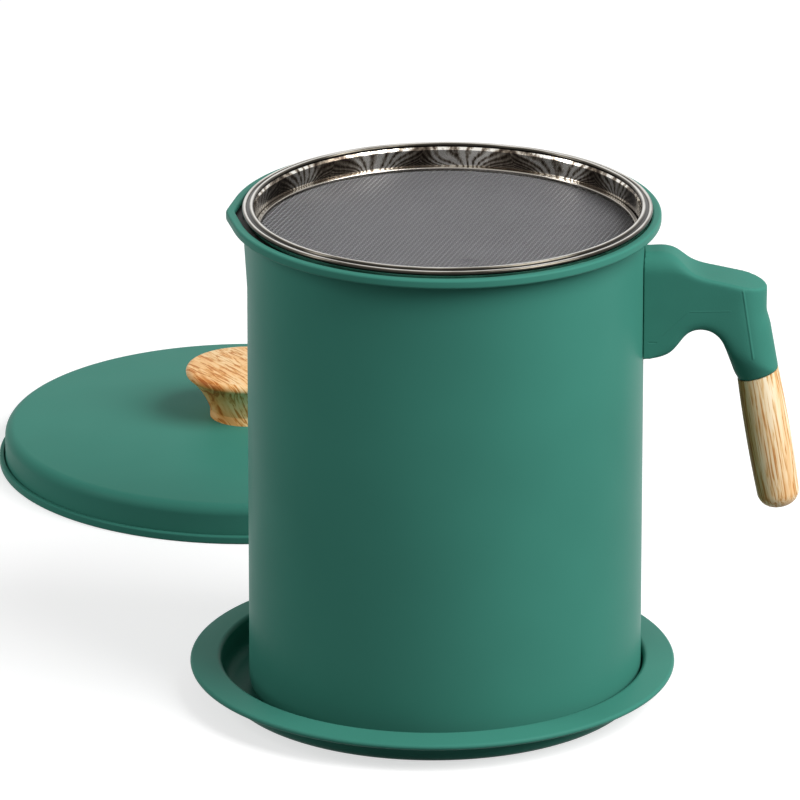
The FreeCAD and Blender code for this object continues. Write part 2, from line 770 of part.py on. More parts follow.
def handle_pieces():
    """The handle's pieces, in place on the pot."""
    flat, spring, screw = handle_screw_stack()
    inner = grip_insert_inset + grip_insert_length
    return {
        "handle_bracket": handle_bracket(),
        "handle_arm": handle_arm(),
        "handle_flat_washer": flat,
        "handle_spring_washer": spring,
        "handle_screw": screw,
        "arm_insert": threaded_insert(-inner, -grip_insert_inset),
        "grip_stud": along_leg(grip_stud_radius, -grip_stud_length / 2, grip_stud_length / 2),
        "grip_insert": threaded_insert(grip_insert_inset, inner),
        "handle_grip": handle_grip(),
    }


def main():
    os.makedirs("parts", exist_ok=True)
    pieces = {"drip_tray": drip_tray(), "pot_body": pot_body()}
    pieces.update(handle_pieces())
    pieces.update(strainer_pieces())
    pieces.update(lid_pieces())
    for name, shape in pieces.items():
        shape.exportStep(f"parts/{name}.step")
        print(name, "valid" if shape.isValid() else "NOT VALID", len(shape.Solids), round(shape.Volume))


main()
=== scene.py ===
import math

import bpy
import numpy as np
from mathutils import Matrix, Vector


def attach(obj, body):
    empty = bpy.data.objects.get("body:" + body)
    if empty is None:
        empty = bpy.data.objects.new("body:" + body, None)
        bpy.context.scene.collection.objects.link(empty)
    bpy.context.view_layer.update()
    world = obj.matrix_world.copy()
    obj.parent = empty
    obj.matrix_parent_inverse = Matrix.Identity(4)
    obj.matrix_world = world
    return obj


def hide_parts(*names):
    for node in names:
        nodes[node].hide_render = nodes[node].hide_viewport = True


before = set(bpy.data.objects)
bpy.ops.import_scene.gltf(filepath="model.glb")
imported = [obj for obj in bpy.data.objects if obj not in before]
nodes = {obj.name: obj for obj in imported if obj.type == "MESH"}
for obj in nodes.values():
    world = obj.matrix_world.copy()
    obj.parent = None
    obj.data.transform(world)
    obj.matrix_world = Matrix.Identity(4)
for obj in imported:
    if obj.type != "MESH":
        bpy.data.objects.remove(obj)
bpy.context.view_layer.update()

# Bacon grease container: an enamelled pot with a strainer in its rim on a drip tray, and its lid behind it.
# Sizes are in metres in the CAD frame: Z up from the table, the pot's axis on Z, the handle along +X.

mm = 0.001
hair = 1e-7

# Pot
pot_radius = 65.0 * mm
pot_sheet = 0.7 * mm
pot_base = 0.8 * mm
rim_top = 166.4 * mm
pot_corner_radius = 5.0 * mm
rim_flare = 5.5 * mm
rim_bead_radius = 1.5 * mm
ledge_bend = 1.0 * mm
rim_band_height = 6.0 * mm
spout_half_angle = math.radians(12.0)
spout_tip_radius = 12.0 * mm
spout_height = 26.0 * mm
rim_centre_radius = pot_radius + rim_flare - rim_bead_radius
rim_centre_height = rim_top - rim_bead_radius
ledge_height = rim_top - 2 * rim_bead_radius + pot_sheet

# Drip tray
tray_sheet = 0.8 * mm
tray_play = 4.5 * mm
tray_corner_bend = 4.6 * mm
tray_wall_taper = 0.5 * mm
tray_depth = 10.7 * mm
tray_flange_width = 9.6 * mm
tray_flange_droop = 1.0 * mm
tray_mouth_bend = 1.2 * mm
tray_lip_bend = 0.6 * mm
tray_lip_drop = 1.1 * mm
tray_x = -4.2 * mm

# Strainer
hoop_sheet = 0.4 * mm
hoop_radius = 63.4 * mm
hoop_flange_width = 2.6 * mm
hoop_corner_bend = 0.5 * mm
hoop_lip_drop = 1.4 * mm
strainer_x = 0.6 * mm
strainer_bead_radius = 0.8 * mm
hoop_to_bead = 0.9 * mm
bead_spacing = 2.2 * mm
bead_lift = 1.05 * mm
bead_step = 0.5 * mm
bead_web = 0.5 * mm
foot_sheet = 0.6 * mm
foot_offset = 1.2 * mm
mesh_depth = 6.6 * mm
mesh_thickness = 0.5 * mm
inner_bead_centre = hoop_radius - hoop_sheet / 2 + hoop_to_bead
outer_bead_centre = inner_bead_centre + bead_spacing
outer_bead_height = rim_top + bead_lift
inner_bead_height = outer_bead_height + bead_step
foot_middle = pot_radius + foot_offset
mesh_top = rim_top - mesh_depth

# Lid
lid_sheet = 0.8 * mm
lid_radius = 88.2 * mm
lid_bead_radius = 1.45 * mm
lid_height = 13.3 * mm
lid_crown = 3.0 * mm
lid_shoulder_bend = 3.4 * mm
lid_flat_radius = 16.5 * mm
lid_flat_bend = 40.0 * mm
lid_hole_radius = 2.6 * mm
lid_centre = Vector((-69.0, 219.7, 0)) * mm

# Handle, with the point where the ferrule's end crosses the leg's axis
leg_lean = math.radians(9.8)
ferrule_point = Vector((102.7, 0, 110.3)) * mm

# Strainer net
mesh_pitch = 1.1 * mm
wire_radius = 0.16 * mm
wire_rise = 0.17 * mm
wire_sides = 4
net_turn = math.radians(27)

# Mould lines on the arm's sides: start and end in x and z, width, and rise as a share of the bump's height
arm_lines = (
    ((97.0 * mm, 142.6 * mm), (100.8 * mm, 117.6 * mm), 0.6 * mm, 1.0),
    ((71.2 * mm, 126.2 * mm), (79.4 * mm, 134.5 * mm), 0.3 * mm, 0.35),
    ((79.4 * mm, 134.5 * mm), (93.6 * mm, 134.9 * mm), 0.3 * mm, 0.35),
    ((66.0 * mm, 123.7 * mm), (69.3 * mm, 123.7 * mm), 0.3 * mm, -0.6),
)

# The arm's own mesh: its grain, the rounds of smoothing, and the ranges over which the smoothing sets in,
# from none to full, below the rim, outside the pot's wall and above the ferrule's end
arm_voxel = 0.45 * mm
arm_light_rounds = 7
arm_soft_rounds = 110
arm_soft_drop = (27 * mm, 34 * mm)
arm_soft_end = (41 * mm, 35 * mm)
arm_soft_root = (2 * mm, 7 * mm)
arm_soft_ferrule = (1 * mm, 6 * mm)
arm_kept_root = (0.6 * mm, 0.2 * mm)

# Painted reflection of the net in the strainer's wall, as fans of light and dark streaks: how many, the
# height over which they open by one width, their width at the net, the streaks across them and how far they
# wander
fans = 13
fan_height = 8 * mm
fan_foot = 0.3
fan_streaks = 46.0
fan_wander = 0.9

# Fineness of the meshes: steps in half a turn of a bend, in the spout's half, and round the pot
pot_bend_steps = 24
spout_steps = 16
pot_steps = 224
lid_bend_steps = 32

# Share of the inner outline's points, counted from the rim's bead, that lie before the dark coat
coat_share = 0.55

# Floor: its half width, grey and glow where it is seen, grey for the light it throws back, and the
# distances over which it turns as white as the world
floor_span = 6.0
floor_grey = (0.6, 0.6, 0.6, 1)
floor_glow = 0.62
floor_thrown_grey = (0.15, 0.15, 0.15, 1)
floor_whitens = (0.5, 1.2)

# World: strength where it lights the object and where it is seen
world_light = 0.2
world_seen = 1.0

# Camera, found from the outlines of pot, rim, tray and lid
camera_place = Vector((-0.014927, -2.8, 1.1087))
camera_tilt = math.radians(70.2)
camera_lens = 407.12
camera_sensor = 36.0
camera_far = 20


# Mesh building

def put_in_scene(name, mesh):
    piece = bpy.data.objects.new(name, mesh)
    bpy.context.scene.collection.objects.link(piece)
    return piece


def bent_path(path, steps):
    """Points along a path of (r, z, bend radius) corners, with a rounded turn at each bend."""
    points = [Vector(path[0][:2])]
    for before, (r, z, bend), after in zip(path, path[1:], path[2:]):
        corner = Vector((r, z))
        into = (corner - Vector(before[:2])).normalized()
        out = (Vector(after[:2]) - corner).normalized()
        turn = into.angle(out)
        if bend <= 0 or turn < 1e-4:
            points.append(corner)
            continue
        reach = bend * math.tan(turn / 2)
        centre = corner + (out - into).normalized() * (bend / math.cos(turn / 2))
        start = corner - into * reach - centre
        side = 1 if into.x * out.y - into.y * out.x > 0 else -1
        count = max(2, math.ceil(steps * turn / math.pi))
        for i in range(count + 1):
            points.append(centre + Matrix.Rotation(side * turn * i / count, 2) @ start)
    points.append(Vector(path[-1][:2]))
    return points


def moved_path(path, distance):
    """The path of (r, z, bend radius) corners, moved to the left of its travel by distance."""
    corners = []
    for i, (r, z, bend) in enumerate(path):
        here = Vector((r, z))
        out = (Vector(path[i + 1][:2]) - here).normalized() if i < len(path) - 1 else None
        into = (here - Vector(path[i - 1][:2])).normalized() if i else out
        out = out or into
        left_in, left_out = Vector((-into.y, into.x)), Vector((-out.y, out.x))
        move = (left_in + left_out) * (distance / (1 + left_in.dot(left_out)))
        turn = into.x * out.y - into.y * out.x
        bend = max(0.0, bend - math.copysign(distance, turn)) if bend else 0.0
        corners.append((r + move.x, z + move.y, bend))
    return corners


def sheet_outline(path, sheet, steps=16):
    """Closed outline of a bent sheet whose middle follows the path of (r, z, bend radius) corners."""
    one = bent_path(moved_path(path, -sheet / 2), steps)
    other = bent_path(moved_path(path, sheet / 2), steps)
    return one + other[::-1]


def arc_points(centre, radius, start, end, count):
    """Points on a circle in the r-z plane, from one angle to the other, in degrees."""
    turns = [math.radians(start + (end - start) * i / count) for i in range(count + 1)]
    return [centre + Vector((math.cos(turn), math.sin(turn))) * radius for turn in turns]


def spun_mesh(name, outline, centre, around=256):
    """Ring or dish made by one full turn of a closed outline of (r, z) points about a vertical axis."""
    vertices, faces, rings = [], [], []
    for r, z in outline:
        on_axis = r < hair
        rings.append((len(vertices), on_axis))
        turns = [0.0] if on_axis else [2 * math.pi * i / around for i in range(around)]
        vertices += [(centre.x + r * math.cos(t), centre.y + r * math.sin(t), centre.z + z) for t in turns]
    for (low, low_is_point), (high, high_is_point) in zip(rings, rings[1:] + rings[:1]):
        if low_is_point and high_is_point:
            continue
        for i in range(around):
            k = (i + 1) % around
            if low_is_point:
                faces.append((low, high + i, high + k))
            elif high_is_point:
                faces.append((low + k, low + i, high))
            else:
                faces.append((low + i, high + i, high + k, low + k))
    mesh = bpy.data.meshes.new(name)
    mesh.from_pydata(vertices, [], faces)
    return mesh


def tray_outline():
    middle = pot_radius + tray_play + tray_sheet / 2
    mouth = middle + tray_wall_taper
    flange_height = tray_sheet / 2 + tray_depth
    lip = mouth + tray_flange_width
    lip_height = flange_height - tray_flange_droop
    return sheet_outline([
        (0, tray_sheet / 2, 0),
        (middle, tray_sheet / 2, tray_corner_bend),
        (mouth, flange_height, tray_mouth_bend),
        (lip, lip_height, tray_lip_bend),
        (lip, lip_height - tray_lip_drop, tray_lip_bend),
        (lip - tray_lip_drop, lip_height - tray_lip_drop, 0),
    ], tray_sheet)


def hoop_outline():
    middle = hoop_radius - hoop_sheet / 2
    flange = mesh_top - mesh_thickness - hoop_sheet / 2
    return sheet_outline([
        (middle - hoop_flange_width, flange, 0),
        (middle, flange, hoop_corner_bend),
        (middle, inner_bead_height - hoop_lip_drop, hoop_corner_bend),
        (inner_bead_centre, inner_bead_height, 0),
    ], hoop_sheet)


def strainer_rim_outline():
    """Two round beads joined by a web, and the foot below the outer one."""
    inner = Vector((inner_bead_centre, inner_bead_height))
    outer = Vector((outer_bead_centre, outer_bead_height))
    web = outer - inner
    tilt = math.degrees(math.atan2(web.y, web.x))
    half_web = math.degrees(math.asin(bead_web / 2 / strainer_bead_radius))
    foot_out = foot_middle + foot_sheet / 2 - outer_bead_centre
    foot_in = foot_middle - foot_sheet / 2 - outer_bead_centre
    out_angle = -math.degrees(math.acos(foot_out / strainer_bead_radius))
    in_angle = 360 - math.degrees(math.acos(foot_in / strainer_bead_radius))
    outline = [Vector((foot_middle - foot_sheet / 2, ledge_height)),
               Vector((foot_middle + foot_sheet / 2, ledge_height))]
    outline += arc_points(outer, strainer_bead_radius, out_angle, 180 + tilt - half_web, count=16)
    outline += arc_points(inner, strainer_bead_radius, tilt + half_web, 360 + tilt - half_web, count=20)
    outline += arc_points(outer, strainer_bead_radius, 180 + tilt + half_web, in_angle, count=4)
    return outline


def lid_outline():
    curl = lid_bead_radius - lid_sheet / 2
    bead = lid_radius - lid_bead_radius
    low, high = lid_bead_radius - curl, lid_bead_radius + curl
    top = lid_height + lid_crown - lid_sheet / 2
    return sheet_outline([
        (lid_hole_radius, top, 0),
        (lid_flat_radius, top, lid_flat_bend),
        (bead - curl, lid_height - lid_sheet / 2, lid_shoulder_bend),
        (bead - curl, low, curl),
        (bead + curl, low, curl),
        (bead + curl, high, curl),
        (bead, high, 0),
    ], lid_sheet, lid_bend_steps)


def softened_arm():
    """The arm's mesh, made even and with its edges rounded as a moulding's are, most of all in the arch."""
    source = put_in_scene("arm_source", nodes["handle_arm"].data.copy())
    even = source.modifiers.new("even", "REMESH")
    even.mode = "VOXEL"
    even.voxel_size = arm_voxel
    mesh = bpy.data.meshes.new_from_object(source.evaluated_get(bpy.context.evaluated_depsgraph_get()))
    mesh.name = "handle_arm_looks"
    mesh.materials.clear()
    bpy.data.objects.remove(source)
    count = len(mesh.vertices)
    places = np.empty(3 * count)
    mesh.vertices.foreach_get("co", places)
    places = places.reshape(count, 3)
    ends = np.empty(2 * len(mesh.edges), dtype=np.int64)
    mesh.edges.foreach_get("vertices", ends)
    ends = ends.reshape(-1, 2)
    neighbours = np.bincount(ends.ravel(), minlength=count)
    reach, drop = places[:, 0] - pot_radius, rim_top - places[:, 2]
    leg = np.array((math.sin(leg_lean), 0, -math.cos(leg_lean)))
    above_ferrule = -((places - np.array(ferrule_point)) @ leg)

    def share(values, low, high):
        """0 to 1 between low and high, which may be in falling order."""
        return np.clip((values - low) / (high - low), 0, 1)

    soft = share(drop, *arm_soft_drop) * share(reach, *arm_soft_end)
    soft *= share(reach, *arm_soft_root) * share(above_ferrule, *arm_soft_ferrule)
    start = places.copy()
    for weight, rounds in ((np.full(count, 1.0), arm_light_rounds), (soft, arm_soft_rounds)):
        for _ in range(rounds):
            sums = np.stack([
                np.bincount(ends[:, 0], places[ends[:, 1], axis], count)
                + np.bincount(ends[:, 1], places[ends[:, 0], axis], count) for axis in range(3)
            ], axis=1)
            places += 0.5 * weight[:, None] * (sums / neighbours[:, None] - places)
    keep = share(reach, *arm_kept_root)[:, None]
    places = keep * start + (1 - keep) * places
    mesh.vertices.foreach_set("co", places.ravel())
    mesh.update()
    return mesh


def pot_reach(r, angle, z):
    """Radius of the pot's wall at an angle from the spout, where the round wall's radius is r."""
    rise = (z - (rim_top - spout_height)) / (spout_height - rim_band_height)
    share = min(1.0, max(0.0, rise))
    away = abs(angle)
    if share == 0 or away >= spout_half_angle:
        return r
    offset = rim_centre_radius - spout_tip_radius
    centre = offset / math.cos(spout_half_angle)
    tip = r - offset
    side = math.atan2(tip * math.sin(spout_half_angle), centre + tip * math.cos(spout_half_angle))
    if away >= side:
        vee = r / math.cos(spout_half_angle - away)
    else:
        across = centre * math.sin(away)
        vee = centre * math.cos(away) + math.sqrt(max(0.0, tip * tip - across * across))
    return r + share * (vee - r)


def spout_angles(count):
    """Angles from the spout round the pot, closer together over the spout."""
    fine = [spout_half_angle * i / spout_steps for i in range(-spout_steps, spout_steps + 1)]
    rest = [spout_half_angle + (2 * math.pi - 2 * spout_half_angle) * i / count for i in range(1, count)]
    return fine + rest


def pot_mesh():
    """Surface of the pot: the outside and rim in the first material slot, the inside in the second."""
    middle = pot_radius - pot_sheet / 2
    curl = rim_bead_radius - pot_sheet / 2
    path = [
        (0, pot_base + pot_sheet / 2, 0),
        (middle, pot_base + pot_sheet / 2, pot_corner_radius - pot_sheet / 2),
        (middle, rim_top - spout_height, 0),
        (middle, rim_top - rim_band_height, 0),
        (middle, rim_centre_height - curl, ledge_bend),
        (rim_centre_radius + curl, rim_centre_height - curl, curl),
        (rim_centre_radius + curl, rim_centre_height + curl, curl),
        (rim_centre_radius - curl, rim_centre_height + curl, curl),
        (rim_centre_radius - curl, rim_centre_height, 0),
    ]
    outer = bent_path(moved_path(path, -pot_sheet / 2), pot_bend_steps)
    inner = bent_path(moved_path(path, pot_sheet / 2), pot_bend_steps)
    outline = outer + inner[::-1]
    angles = spout_angles(pot_steps)
    vertices, faces, slots = [], [], []
    for point in outline[1:-1]:
        for angle in angles:
            reach = pot_reach(point.x, (angle + math.pi) % (2 * math.pi) - math.pi, point.y)
            vertices.append((-reach * math.cos(angle), reach * math.sin(angle), point.y))
    around = len(angles)
    bands = len(outline) - 3
    coat_end = len(outer) - 1 + (len(inner) - 1) * coat_share
    for i in range(bands):
        for j in range(around):
            k = (j + 1) % around
            faces.append((i * around + j, i * around + k, (i + 1) * around + k, (i + 1) * around + j))
            slots.append(1 if i > coat_end else 0)
    bottom, base = len(vertices), len(vertices) + 1
    vertices += [(0, 0, outline[0].y), (0, 0, outline[-1].y)]
    last = bands * around
    for j in range(around):
        k = (j + 1) % around
        faces.append((bottom, k, j))
        slots.append(0)
        faces.append((base, last + j, last + k))
        slots.append(1)
    mesh = bpy.data.meshes.new("pot_body_looks")
    mesh.from_pydata(vertices, [], faces)
    for face, slot in zip(mesh.polygons, slots):
        face.material_index = slot
    return mesh


def woven_net(centre, radius, pitch, wire, rise, sides, turned):
    """Plain weave of bent wires, trimmed to a circle and turned about its middle."""
    vertices, faces = [], []
    rows = int(radius / pitch)

    def add_wire(points, across):
        first = len(vertices)
        for point in points:
            for k in range(sides):
                turn = 2 * math.pi * (k + 0.5) / sides
                offset = across * (wire * math.cos(turn)) + Vector((0, 0, wire * math.sin(turn)))
                vertices.append(point + offset)
        for i in range(len(points) - 1):
            for k in range(sides):
                a, b = first + i * sides + k, first + i * sides + (k + 1) % sides
                faces.append((a, b, b + sides, a + sides))
        faces.append(tuple(range(first + sides - 1, first - 1, -1)))
        faces.append(tuple(range(len(vertices) - sides, len(vertices))))

    for i in range(-rows, rows + 1):
        half = math.sqrt(max(0.0, radius * radius - (i * pitch) ** 2))
        count = int(half / pitch)
        if count < 2:
            continue
        along_x, along_y = [], []
        for j in range(-count, count + 1):
            up = rise if (i + j) % 2 else -rise
            along_x.append(Vector((j * pitch, i * pitch, up)))
            along_y.append(Vector((i * pitch, j * pitch, -up)))
        add_wire(along_x, Vector((0, 1, 0)))
        add_wire(along_y, Vector((1, 0, 0)))
    mesh = bpy.data.meshes.new("strainer_net")
    mesh.from_pydata(vertices, [], faces)
    mesh.transform(Matrix.Translation(centre) @ Matrix.Rotation(turned, 4, "Z"))
    return mesh


# Materials

class Nodes:
    """Small helper round one material's node tree."""

    def __init__(self, name):
        self.material = bpy.data.materials.new(name)
        self.material.use_nodes = True
        self.tree = self.material.node_tree
        self.shader = self.tree.nodes["Principled BSDF"]

    def add(self, kind, **values):
        node = self.tree.nodes.new(kind)
        for key, value in values.items():
            setattr(node, key, value)
        return node

    def link(self, source, target):
        self.tree.links.new(source, target)

    def place(self, at=(0, 0, 0), turn=(0, 0, 0)):
        """Object coordinates from a point, in turned axes."""
        where = self.add("ShaderNodeTexCoord")
        mapping = self.add("ShaderNodeMapping", vector_type="TEXTURE")
        mapping.inputs["Location"].default_value = at
        mapping.inputs["Rotation"].default_value = turn
        self.link(where.outputs["Object"], mapping.inputs["Vector"])
        return mapping.outputs["Vector"]

    def stretched(self, vector, scale):
        mapping = self.add("ShaderNodeMapping")
        mapping.inputs["Scale"].default_value = scale
        self.link(vector, mapping.inputs["Vector"])
        return mapping.outputs["Vector"]

    def noise(self, vector, scale, detail=3.0, roughness=0.5, distortion=0.0):
        node = self.add("ShaderNodeTexNoise")
        node.inputs["Scale"].default_value = scale
        node.inputs["Detail"].default_value = detail
        node.inputs["Roughness"].default_value = roughness
        node.inputs["Distortion"].default_value = distortion
        self.link(vector, node.inputs["Vector"])
        return node.outputs["Fac"]

    def ramp(self, value, stops):
        node = self.add("ShaderNodeValToRGB")
        ramp = node.color_ramp
        ramp.elements[0].position, ramp.elements[0].color = stops[0][0], (*stops[0][1], 1)
        ramp.elements[1].position, ramp.elements[1].color = stops[-1][0], (*stops[-1][1], 1)
        for position, colour in stops[1:-1]:
            ramp.elements.new(position).color = (*colour, 1)
        self.link(value, node.inputs["Fac"])
        return node.outputs["Color"]

    def spread(self, value, low, high):
        """Maps 0..1 to low..high."""
        node = self.add("ShaderNodeMapRange")
        node.inputs["To Min"].default_value = low
        node.inputs["To Max"].default_value = high
        self.link(value, node.inputs["Value"])
        return node.outputs["Result"]

    def times(self, one, other):
        """Product of two colour sockets."""
        node = self.add("ShaderNodeMix", data_type="RGBA", blend_type="MULTIPLY")
        node.inputs["Factor"].default_value = 1.0
        self.link(one, node.inputs["A"])
        self.link(other, node.inputs["B"])
        return node.outputs["Result"]

    def math(self, operation, *values):
        """A Math node whose inputs are sockets or numbers."""
        node = self.add("ShaderNodeMath", operation=operation)
        for i, value in enumerate(values):
            if isinstance(value, (int, float)):
                node.inputs[i].default_value = value
            else:
                self.link(value, node.inputs[i])
        return node.outputs["Value"]

    def parts(self, vector):
        node = self.add("ShaderNodeSeparateXYZ")
        self.link(vector, node.inputs["Vector"])
        return node.outputs

    def step(self, value, low, high):
        """0 to 1, smoothly, between low and high, which may be in falling order."""
        node = self.add("ShaderNodeMapRange", interpolation_type="SMOOTHSTEP")
        node.inputs["From Min"].default_value = low
        node.inputs["From Max"].default_value = high
        self.link(value, node.inputs["Value"])
        return node.outputs["Result"]

    def line(self, start, end, width):
        """1 on a thin line between two points of the XZ plane, seen from the side, else 0."""
        run = Vector((end[0] - start[0], 0, end[1] - start[1]))
        across = self.parts(self.place((start[0], 0, start[1]), (0, math.atan2(run.x, run.z), 0)))
        near = self.step(self.math("ABSOLUTE", across["X"]), width, 0.0)
        inside = self.math("MULTIPLY", self.step(across["Z"], 0.0, 2 * width),
                           self.step(across["Z"], run.length, run.length - 2 * width))
        return self.math("MULTIPLY", near, inside)

    def bump(self, height, strength, distance):
        node = self.add("ShaderNodeBump")
        node.inputs["Strength"].default_value = strength
        node.inputs["Distance"].default_value = distance
        self.link(height, node.inputs["Height"])
        self.link(node.outputs["Normal"], self.shader.inputs["Normal"])

    def set(self, **values):
        for key, value in values.items():
            self.shader.inputs[key.replace("_", " ")].default_value = value


def tinted(colour, factor):
    """The colour, lighter or darker by one factor."""
    return tuple(factor * c for c in colour)


def toned(colour, tint):
    """Product of two colours."""
    return tuple(c * t for c, t in zip(colour, tint))


def enamel(name, colour, roughness, gloss):
    """Satin enamel: slight cloudiness of the colour and a fine orange peel."""
    m = Nodes(name)
    where = m.place()
    cloud = m.noise(where, 18, 2)
    m.link(m.ramp(cloud, [(0.3, tinted(colour, 0.95)), (0.7, tinted(colour, 1.05))]),
           m.shader.inputs["Base Color"])
    m.link(m.spread(m.noise(where, 60, 2), roughness - 0.03, roughness + 0.03), m.shader.inputs["Roughness"])
    m.bump(m.noise(where, 900, 2), 0.1, 0.05 * mm)
    m.set(Specular_IOR_Level=gloss)
    return m.material


def arm_plastic(name, colour, roughness, gloss):
    """Moulded plastic with a fine satin grain and the mould's faint raised and sunk lines on the sides."""
    m = Nodes(name)
    where = m.place()
    m.link(m.ramp(m.noise(where, 40, 3), [(0.3, tinted(colour, 0.93)), (0.7, tinted(colour, 1.07))]),
           m.shader.inputs["Base Color"])
    height = m.math("MULTIPLY", m.noise(where, 1600, 2), 0.12)
    for start, end, width, rise in arm_lines:
        height = m.math("ADD", height, m.math("MULTIPLY", m.line(start, end, width), rise))
    m.link(m.spread(m.noise(where, 80, 2), roughness - 0.04, roughness + 0.04), m.shader.inputs["Roughness"])
    m.bump(height, 0.9, 0.2 * mm)
    m.set(Specular_IOR_Level=gloss)
    return m.material


def painted_reflection_steel(name):
    """Mirror-bright steel wall with a painted reflection of the net in its colour, as fans of light and dark
    streaks.
    """
    m = Nodes(name)
    where = m.parts(m.place(at=(strainer_x, 0, mesh_top)))
    turn = m.math("MULTIPLY", m.math("ARCTAN2", where["Y"], where["X"]), fans / (2 * math.pi))
    wander = m.noise(m.place(), 38, 2)
    turn = m.math("ADD", turn, m.math("MULTIPLY", wander, fan_wander))
    off_middle = m.math("SUBTRACT", m.math("FRACT", turn), 0.5)
    rise = m.math("ADD", m.math("MULTIPLY", where["Z"], 1 / fan_height), fan_foot)
    slope = m.math("DIVIDE", off_middle, rise)
    wave = m.math("SINE", m.math("MULTIPLY", slope, fan_streaks))
    grain = m.noise(m.stretched(m.place(), (1, 1, 0.5)), 1100, 3, 0.6)
    light = m.math("ADD", m.math("MULTIPLY", wave, 0.2), m.math("MULTIPLY", grain, 0.8))
    open_fan = m.math("MULTIPLY", m.step(m.math("ABSOLUTE", slope), 0.9, 0.15),
                      m.step(m.math("ABSOLUTE", off_middle), 0.46, 0.2))
    light = m.math("MULTIPLY", light, m.math("ADD", m.math("MULTIPLY", open_fan, 0.85), 0.4))
    # Base colour, dark to bright: all of it a painted reflection of the net, fans and streaks alike
    m.link(m.ramp(light, [
        (0.08, (0.035, 0.026, 0.02)),
        (0.22, (0.16, 0.13, 0.10)),
        (0.38, (0.42, 0.37, 0.31)),
        (0.6, (0.85, 0.82, 0.76)),
    ]), m.shader.inputs["Base Color"])
    m.link(m.spread(grain, 0.08, 0.2), m.shader.inputs["Roughness"])
    m.set(Metallic=1.0)
    return m.material


def bead_painted_light_steel(name):
    """Rolled steel rim with painted light in its colour: painted highlights along the top of each bead,
    painted shade down its sides and in the groove.
    """
    m = Nodes(name)
    where = m.parts(m.place(at=(strainer_x, 0, 0)))
    reach = m.math("SQRT", m.math("ADD", m.math("POWER", where["X"], 2.0), m.math("POWER", where["Y"], 2.0)))
    # Painted light: bright rings over the middle of each bead, painted shade between them and at the sides,
    # over random patches
    phase = m.math("MULTIPLY", m.math("SUBTRACT", reach, inner_bead_centre),
                   2 * math.pi / (outer_bead_centre - inner_bead_centre))
    painted_bead_light = m.math("MULTIPLY", m.math("COSINE", phase), 0.5)
    patches = m.noise(m.place(), 70, 3)
    painted_light_level = m.math("ADD", painted_bead_light, m.math("MULTIPLY", patches, 0.6))
    m.link(m.ramp(painted_light_level, [
        (0.05, (0.03, 0.027, 0.022)),
        (0.35, (0.10, 0.09, 0.07)),
        (0.55, (0.34, 0.31, 0.27)),
        (0.75, (0.72, 0.70, 0.66)),
    ]), m.shader.inputs["Base Color"])
    m.link(m.spread(patches, 0.08, 0.2), m.shader.inputs["Roughness"])
    m.bump(m.noise(m.place(), 1200, 2), 0.03, 0.05 * mm)
    m.set(Metallic=1.0)
    return m.material


def steel(name, colour, roughness, stretch=(1, 1, 30)):
    """Polished steel with fine lines along its rolling direction."""
    m = Nodes(name)
    lines = m.noise(m.stretched(m.place(), stretch), 60, 3, 0.6)
    m.link(m.ramp(lines, [(0.3, tinted(colour, 0.8)), (0.7, colour)]), m.shader.inputs["Base Color"])
    m.link(m.spread(lines, roughness * 0.7, roughness * 1.4), m.shader.inputs["Roughness"])
    m.bump(lines, 0.04, 0.05 * mm)
    m.set(Metallic=1.0)
    return m.material


def dark_coat(name):
    """Dull black non-stick coat with a fine speckle."""
    m = Nodes(name)
    speckle = m.noise(m.place(), 1400, 2)
    m.link(m.ramp(speckle, [(0.55, (0.006, 0.006, 0.006)), (0.8, (0.02, 0.02, 0.022))]),
           m.shader.inputs["Base Color"])
    m.bump(speckle, 0.1, 0.05 * mm)
    m.set(Roughness=0.6)
    return m.material


def wood(name, at, turn, stretch, painted_shade_range, tint):
    """Light wood-grain print: thin wandering fibres over broad orange streaks, with painted shade making it
    darker on one side.
    """
    m = Nodes(name)
    where = m.place(at, turn)
    streak_stretch = tuple(1.5 * k if k < 1 else k for k in stretch)
    streaks = m.noise(m.stretched(where, streak_stretch), 170, 4, 0.55, 0.6)
    # Painted shade: the wood darkens towards one side, across the given range of its own X
    side = m.step(m.parts(where)["X"], *painted_shade_range)
    streaks_and_painted_shade = m.math("ADD", m.math("MULTIPLY", streaks, 0.75), m.math("MULTIPLY", side, 0.25))
    fibres = m.noise(m.stretched(where, stretch), 1250, 3, 0.55, 0.8)
    colour = m.ramp(streaks_and_painted_shade, [
        (0.37, toned((0.60, 0.28, 0.09), tint)),
        (0.46, toned((0.82, 0.50, 0.23), tint)),
        (0.57, toned((0.95, 0.74, 0.47), tint)),
        (0.70, toned((0.97, 0.85, 0.63), tint)),
    ])
    grain = m.ramp(fibres, [(0.39, (0.60, 0.34, 0.15)), (0.47, (0.88, 0.74, 0.55)), (0.55, (1.0, 1.0, 1.0))])
    m.link(m.times(colour, grain), m.shader.inputs["Base Color"])
    m.link(m.spread(streaks, 0.46, 0.56), m.shader.inputs["Roughness"])
    m.bump(fibres, 0.1, 0.08 * mm)
    m.set(Specular_IOR_Level=0.2)
    return m.material


green = (0.047, 0.215, 0.165)
green_enamel = enamel("green_enamel", green, 0.4, 0.04)
# The lid's enamel is the same green made lighter: painted light on the lid
lid_enamel_lit_copy = enamel("lid_enamel_lit_copy", tinted(green, 1.1), 0.42, 0.03)
green_arm = arm_plastic("green_arm", tinted(green, 0.98), 0.5, 0.04)
inside_coat = dark_coat("inside_coat")
hoop_painted_reflection = painted_reflection_steel("hoop_painted_reflection")
rim_painted_light = bead_painted_light_steel("rim_painted_light")
clamp_steel = steel("clamp_steel", (0.42, 0.39, 0.35), 0.15)
mesh_steel = steel("mesh_steel", (0.15, 0.15, 0.155), 0.3)
plain_steel = steel("plain_steel", (0.5, 0.5, 0.5), 0.4)
brass = steel("insert_brass", (0.72, 0.5, 0.2), 0.3)
